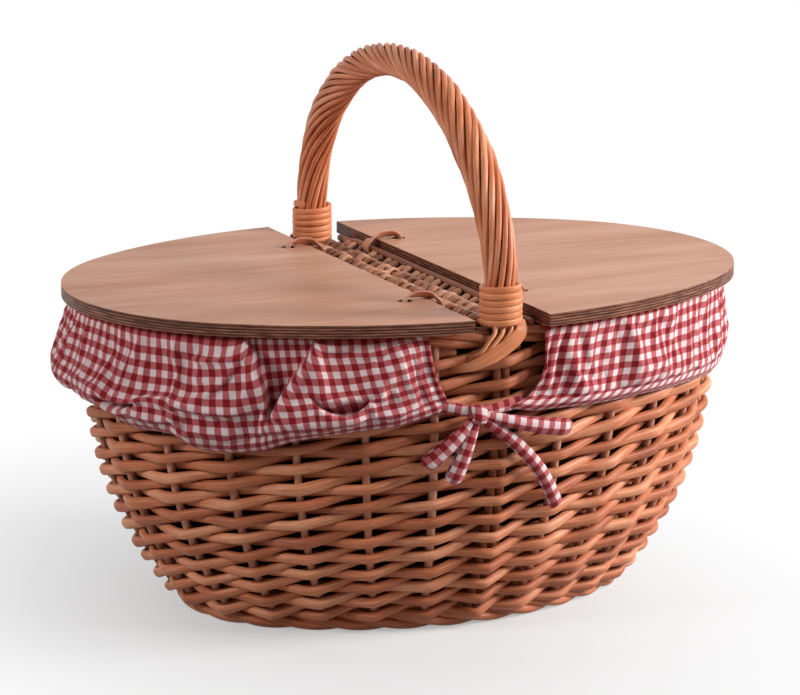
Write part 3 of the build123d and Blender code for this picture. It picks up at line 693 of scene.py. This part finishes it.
# Down a skirt from 0 to 1: the run from the middle of the front to its two edges, and how far it stands off
FREE_EDGE = [0, 0.3, 0.65, 0.85, 1], [23, 18, 14, 10.5, -1]
FOLDED_EDGE = [0, 0.5, 1], [45, 39, 32]
POUCH = [0, 0.04, 0.12, 0.3, 0.6, 0.8, 0.92, 1], [0.1, 0.45, 0.66, 0.85, 1, 0.85, 0.42, 0]


def skirt_edges(side, v):
    """Runs from the middle of the front, and of the back, to the skirt's edges."""
    edges = [np.interp(v, *FREE_EDGE), np.interp(v, *FOLDED_EDGE)]
    return edges if side == "right" else edges[::-1]


def hem_heights(side, s):
    """Height of the hem at a run from the middle of the front."""
    if side == "left":
        runs = [32, 62, 83, 104, 118, 132, 147, 168, 177, 188, 206, 218, 250, 280, 340, 400, 440, 502]
        heights = [138, 130, 128, 125, 122, 117, 115, 116, 122, 123, 122, 127, 130, 133, 125, 121, 128, 138]
    else:
        runs = [0, 16, 36, 60, 88, 150, 210, 280, 340, 400, 440, 470]
        heights = [137, 133.5, 133, 132, 132, 130, 129, 129, 124, 119, 126, 138]
    return np.interp(s, runs, heights)


def skirt_shape(side):
    """Skirt as it is sewn on: over the border, out and down, then in to the drawn hem.

    Gives its points, and which of them stay held while the cloth settles.
    """
    rim_rows, rows, columns = 5, 34, 330
    half_round = RIM_RUN / 2
    u = np.linspace(0, 1, columns)
    u = u + 0.12 * np.sin(2 * np.pi * u) / (2 * np.pi) - 0.10 * u * (1 - u)
    sign = 1 if side == "right" else -1
    points, held = [], []
    front, back = skirt_edges(side, 0)
    fraction = (front + (half_round - front - back) * u) / RIM_RUN
    inner, outer = -LINER_INSET - 0.5, WEAVE_REACH + 0.6
    for row in range(rim_rows):
        out = inner + (outer - inner) * row / rim_rows
        points.append(wall(sign * fraction, CLOTH_Z + 0 * u, out)[0])
        held.append(np.full(columns, True))
    for row in range(rows):
        v = row / (rows - 1)
        front, back = skirt_edges(side, v)
        s = front + (half_round - front - back) * u
        z = CLOTH_Z - 0.6 + (hem_heights(side, s) - CLOTH_Z + 0.6) * v ** 1.08
        from_edge = np.minimum(s - front, half_round - back - s)
        drawn = np.clip(from_edge / 30, 0, 1) ** 0.7
        pouch = np.interp(v, *POUCH)
        swell = fullness(side, s) * pouch * (1 + 0.55 * soft(s / 34, 1.6 * v, sign * 7.7))
        swell = swell + 1.3 * math.sin(math.pi * v) * soft(s / 9, 1.5 * v, sign * 3.3)
        gathers = 1.5 * np.clip(1 - from_edge / 40, 0, 1) * np.sin(from_edge * 0.8 + 2 * v)
        hollow = recess(side, s, z)
        roll = 1.6 * math.sin(math.pi * min(1.0, max(0.0, (v - 0.86) / 0.14)))
        lift = (LEG_REACH - WEAVE_REACH) * np.clip(1 - s / 30, 0, 1)
        out = np.clip(swell * drawn + gathers * math.sin(math.pi * v), 0, None) * (1 - hollow) + roll
        place = s + overhang(side, s, z, hollow)
        points.append(wall(sign * place / RIM_RUN, z, WEAVE_REACH + 0.9 + lift + out)[0])
        held.append((hollow > 0.85) | (v > 0.85) | (row == 0))
    return np.stack(points), np.stack(held)


def fullness(side, s):
    """How far the pouch stands off the wall."""
    if side == "right":
        return np.interp(s, [0, 40, 120, 250, 330, 430, 502], [3, 6, 4.5, 1.5, 6, 10, 8])
    runs = [32, 60, 100, 150, 190, 240, 290, 350, 430, 502]
    return np.interp(s, runs, [6, 12, 18, 19, 15, 13, 12, 10, 7, 4])


# Heights of each V fold with the runs of its two edges, and the lips of pouches: run, height and half width
FOLDS = {
    "right": ([178, 150, 132], [336, 344, 352], [372, 362, 354]),
    "left": ([178, 170, 159, 149, 138], [101, 105, 112, 119, 125], [141, 136, 133, 131, 127]),
}
LIPS = {"right": [(410, 146, 12)], "left": [(90, 147, 12), (205, 140, 9), (395, 148, 13)]}


def fold_edges(side, z):
    """Runs of the two folds that meet in a V, at these heights."""
    heights, near, far = FOLDS[side]
    return [np.interp(z, heights[::-1], edge[::-1]) for edge in (near, far)]


def overhang(side, s, z, hollow):
    """How far the two folds lean over the hollow between them."""
    near, far = fold_edges(side, z)
    lean = np.exp(-abs(s - near) / 5.0) * (s < far) - np.exp(-abs(s - far) / 5.0) * (s > near)
    return 4.5 * lean * (1 - hollow) * (z > FOLDS[side][0][-1])


def recess(side, s, z):
    """Where the cloth falls in to the wall between two folds, and under the lip of a pouch."""
    near, far = fold_edges(side, z)
    total = 1 / (1 + np.exp((near - s) / 0.8)) / (1 + np.exp((s - far) / 0.8)) * (z > FOLDS[side][0][-1])
    for place, height, half in LIPS[side]:
        reach = ((s - place) / half) ** 2 + ((z - height - 0.02 * (s - place) ** 2) / 2.6) ** 2
        total = np.maximum(total, 0.8 / (1 + np.exp(np.clip((reach - 1) / 0.25, None, 60))))
    return total


def wall_proxy():
    """A plain shell of the wall and of the lids' undersides for the cloth to fall against."""
    fraction = np.linspace(0, 1, 161)
    rows = [wall(fraction, z, WEAVE_REACH)[0] for z in np.linspace(60, BORDER_TOP, 30)]
    lid_face = np.array([0, 0, LID_BOTTOM + 0.3])
    under = [wall(fraction, BORDER_Z, out)[0] * np.array([1, 1, 0]) + lid_face for out in (-20, 0, 18)]
    faces = grid_faces(len(rows), len(fraction))
    faces += [[i + len(rows) * len(fraction) for i in face] for face in grid_faces(len(under), len(fraction))]
    made = mesh_piece("wall_proxy", np.concatenate(rows + under), faces, GINGHAM)
    made.modifiers.new("collision", "COLLISION")
    made.collision.thickness_outer = 0.6 * MM
    made.collision.cloth_friction = 12
    return made


def simulate(piece, held, frames):
    """Lets the cloth settle under its weight, then keeps the settled shape."""
    scene = bpy.context.scene
    group = piece.vertex_groups.new(name="held")
    group.add(held, 1.0, "REPLACE")
    cloth = piece.modifiers.new("cloth", "CLOTH")
    fabric = cloth.settings
    fabric.quality = 7
    fabric.mass = 0.02
    fabric.air_damping = 2.0
    fabric.tension_stiffness = fabric.compression_stiffness = 12.0
    fabric.shear_stiffness = 4.0
    fabric.bending_stiffness = 0.008
    fabric.shrink_min = -0.06
    fabric.vertex_group_mass = "held"
    cloth.collision_settings.distance_min = CLOTH * MM
    for step in range(1, frames + 1):
        scene.frame_set(step)
    shape = piece.evaluated_get(bpy.context.evaluated_depsgraph_get()).data
    settled = np.zeros(3 * len(shape.vertices), np.float32)
    shape.vertices.foreach_get("co", settled)
    piece.modifiers.remove(cloth)
    piece.vertex_groups.remove(group)
    scene.frame_set(1)
    piece.data.vertices.foreach_set("co", settled)
    piece.data.update()


def skirts():
    """The two skirts, let down over the wall, and their cut sizes."""
    proxy = wall_proxy()
    for side in ("right", "left"):
        points, held = skirt_shape(side)
        nodes = ["liner_skirt_" + side, "liner_rim_" + side]
        piece = cloth_piece(f"liner_skirt_{side}_cloth", points, cut_size(points), *nodes)
        simulate(piece, np.flatnonzero(held).tolist(), 24)
        thicken(piece)
    bpy.data.objects.remove(proxy)


def strip(name, path, sides, width, *nodes, curl=0.6):
    """A band of cloth along a path; sides say which way its width lies."""
    share = np.linspace(-0.5, 0.5, 7)
    width = np.broadcast_to(width, len(path))
    way = unit(np.gradient(path, axis=0))
    normal = np.cross(way, sides)
    across = share[:, None] * width
    points = path + across[..., None] * sides - curl * (2 * share[:, None, None]) ** 2 * normal
    run = np.r_[0, np.cumsum(np.linalg.norm(np.diff(path, axis=0), axis=1))]
    flat = np.stack([np.broadcast_to(run, across.shape), across], -1)
    made = cloth_piece(name, points, flat + rng.uniform(0, 40, 2), *nodes)
    thicken(made, TIE_CLOTH)


KNOT = (-18.0, 136.0)                           # run from the middle of the front, and height


def on_wall(x, z, lift, back):
    """Path over the weave and its normals, on the front or turned to the back."""
    path, normal = wall(np.asarray(x) / RIM_RUN, np.asarray(z), LEG_REACH + 0.6 + np.asarray(lift))
    return (turned(path), turned(normal)) if back else (path, normal)


def tie(name, guide, width, back, *nodes):
    """A flat run of the tie: guide points hold x, height and lift off the wall."""
    x, z, lift = smooth_path(guide).T
    path, normal = on_wall(x, z, lift, back)
    sides = unit(np.cross(normal, unit(np.gradient(path, axis=0))))
    width = np.interp(np.linspace(0, 1, 40), np.linspace(0, 1, len(width)), width)
    strip(name, path, sides, width, *nodes, curl=1.3)


def loop(name, end, width, back, *nodes):
    """A soft loop from the knot out to end and back under itself."""
    start = np.array(KNOT)
    reach = np.array(end) - start
    profile = [
        (0.05, 4.0), (0.35, 6.0), (0.75, 6.2), (0.96, 5.2), (1.0, 3.6),
        (0.96, 2.0), (0.7, 1.4), (0.35, 1.8), (0.05, 2.2),
    ]
    sag = np.array([0.0, -1.0])
    guide = [(*(start + reach * along + 5 * sag * along * (1 - along)), lift) for along, lift in profile]
    x, z, lift = smooth_path(guide, 60).T
    path, normal = on_wall(x, z, lift, back)
    chord = unit(path[30] - path[0])
    from_tip = abs(np.linspace(-1, 1, 60))
    width = width * np.interp(from_tip, [0, 0.06, 0.24, 0.7, 1], [0.8, 0.95, 1, 0.72, 0.5])
    strip(name, path, unit(np.cross(normal, chord)), width, *nodes, curl=1.5)


def knot(name, back, *nodes):
    """A band drawn tight round the middle of the bow."""
    angle = np.linspace(0, 2 * np.pi, 40)
    x, z = KNOT
    lumps = 1 + 0.1 * np.sin(3 * angle + 1)
    height = z + 4.8 * lumps * np.cos(angle)
    path, normal = on_wall(0 * angle + x, height, 3.9 + 3.0 * lumps * np.sin(angle), back)
    sides = unit(np.cross(normal[:1], np.array([[0.25, 0, 1.0]]))) + 0 * path
    strip(name, path, sides, 8.5 + np.sin(2 * angle), *nodes, curl=-1.4)


def ties():
    for end, back in (("front", False), ("back", True)):
        knot(f"tie_knot_{end}_cloth", back, "tie_knot_" + end)
        loop(f"tie_loop_left_{end}", (-47, 109), 9.0, back, "tie_loops_" + end)
        loop(f"tie_loop_low_{end}", (-32, 99), 9.0, back)
        loop(f"tie_loop_right_{end}", (38, 123), 9.0, back)
        tail = [(-15, 133, 4.0), (3, 119, 3.0), (21, 101, 1.6), (37, 78, 1.0)]
        tie(f"tie_tail_{end}", tail, (5.0, 7.0, 7.5, 8.0), back, "tie_tails_" + end)
        left = [(-42, 140.5, -0.8), (-33, 139.6, 0.8), (-26, 138.2, 2.4), (-18, 136.4, 3.6)]
        tie(f"tie_band_left_{end}", left, (6.5, 6.5, 6, 5), back)
        right = [(9, 139, -0.8), (1, 138.6, 0.8), (-7, 137.8, 2.4), (-17, 136.4, 3.6)]
        tie(f"tie_band_right_{end}", right, (6.5, 6.5, 6, 5), back)


# Stage, light and camera

def floor():
    """White far off, where it glows for the camera as painted light that grows with distance from a point
    left of and in front of the basket's middle; the basket's shadow shows near it; what it throws back on the
    basket is greyer.
    """
    bpy.ops.mesh.primitive_plane_add(size=12)
    plane = bpy.context.object
    plane.name = "floor"
    s = Shader("floor", Roughness=0.6, Specular_IOR_Level=0.2)
    rays = s.tree.nodes.new("ShaderNodeLightPath").outputs
    seen = s.math("MAXIMUM", rays["Is Camera Ray"], rays["Is Glossy Ray"])
    seen = s.math("MAXIMUM", seen, rays["Is Transmission Ray"])
    grey = s.mix(seen, (0.32, 0.32, 0.32, 1), (0.66, 0.66, 0.66, 1))
    s.tree.links.new(grey, s.surface.inputs["Base Color"])
    # Painted light: the glow's share grows with distance from a point left of and in front of the middle,
    # stretched along x, so the shade near the basket fades to white.
    place = s.node("TexCoord", "Object")
    place = s.node("VectorMath", "Vector", {0: place, 1: (0.05, 0.03, 0)}, operation="ADD")
    place = s.stretched(place, 1.35, 0.85, 1.0)
    far = s.node("VectorMath", "Value", {0: place}, operation="LENGTH")
    painted_glow = s.node("Emission", 0, {"Color": (1, 1, 1, 1), "Strength": 1.0})
    share = s.math("MULTIPLY", s.spread(far, 0.1, 0.4, 0.4, 1.0), seen)
    made = s.node("MixShader", 0, {0: share, 1: s.surface.outputs[0], 2: painted_glow})
    s.tree.links.new(made, s.tree.nodes["Material Output"].inputs["Surface"])
    plane.data.materials.append(s.material)


def studio():
    """A white backdrop that lights the basket only a little."""
    world = bpy.data.worlds.new("studio")
    world.use_nodes = True
    bpy.context.scene.world = world
    tree = world.node_tree
    path = tree.nodes.new("ShaderNodeLightPath")
    seen = path.outputs["Is Camera Ray"]
    for other in ("Is Glossy Ray", "Is Transmission Ray"):
        larger = tree.nodes.new("ShaderNodeMath")
        larger.operation = "MAXIMUM"
        tree.links.new(seen, larger.inputs[0])
        tree.links.new(path.outputs[other], larger.inputs[1])
        seen = larger.outputs[0]
    strength = tree.nodes.new("ShaderNodeMapRange")
    tree.links.new(seen, strength.inputs[0])
    strength.inputs[3].default_value = 0.115
    strength.inputs[4].default_value = 1.0
    tree.links.new(strength.outputs[0], tree.nodes["Background"].inputs["Strength"])
    tree.nodes["Background"].inputs["Color"].default_value = (1, 1, 1, 1)


def lamps():
    area_light("key", (1.34, -0.60, 0.70), 0.45, 27)
    area_light("top", (0.25, 0.45, 1.2), 0.7, 1.0)
    area_light("front", (0.85, -1.10, 1.10), 0.4, 10.5)
    area_light("side", (-1.6, -0.2, 0.95), 0.45, 13.5)


def area_light(name, place, size, power):
    """A square lamp that faces the basket's middle; metres and watts."""
    data = bpy.data.lights.new(name, "AREA")
    data.size = size
    data.energy = power
    lamp = bpy.data.objects.new(name, data)
    lamp.location = place
    lamp.rotation_euler = (Vector((0, 0, 0.13)) - Vector(place)).to_track_quat("-Z", "Y").to_euler()
    bpy.context.scene.collection.objects.link(lamp)


PHOTO_WIDTH, FOCAL_LENGTH = 800, 4066           # in pixels of the photograph


def camera():
    """The photograph's view, from the left of the front and a little above."""
    azimuth, elevation, distance = math.radians(-23.93), math.radians(12.48), 2.3535
    target = Vector((-0.0009, 0.0004, 0.1411))
    level = math.cos(elevation)
    back = Vector((math.sin(azimuth) * level, -math.cos(azimuth) * level, math.sin(elevation)))
    data = bpy.data.cameras.new("camera")
    data.sensor_width = 36.0
    data.lens = FOCAL_LENGTH / PHOTO_WIDTH * data.sensor_width
    view = bpy.data.objects.new("camera", data)
    view.location = target + back * distance
    view.rotation_euler = (-back).to_track_quat("-Z", "Y").to_euler()
    bpy.context.scene.collection.objects.link(view)
    bpy.context.scene.camera = view


weave_wall()
upright_stakes()
foot_wale()
border("rim_border_right_willow", "rim_border_right", 0.0)
border("rim_border_left_willow", "rim_border_left", 0.5)
base_pieces()
handle()
lashing("handle_lashing_front_skein", "handle_lashing_front", False)
lashing("handle_lashing_back_skein", "handle_lashing_back", True)
bridge()
lids()
liner_bag()
skirts()
ties()
floor()
studio()
lamps()
camera()
bpy.context.scene.view_settings.view_transform = "Standard"
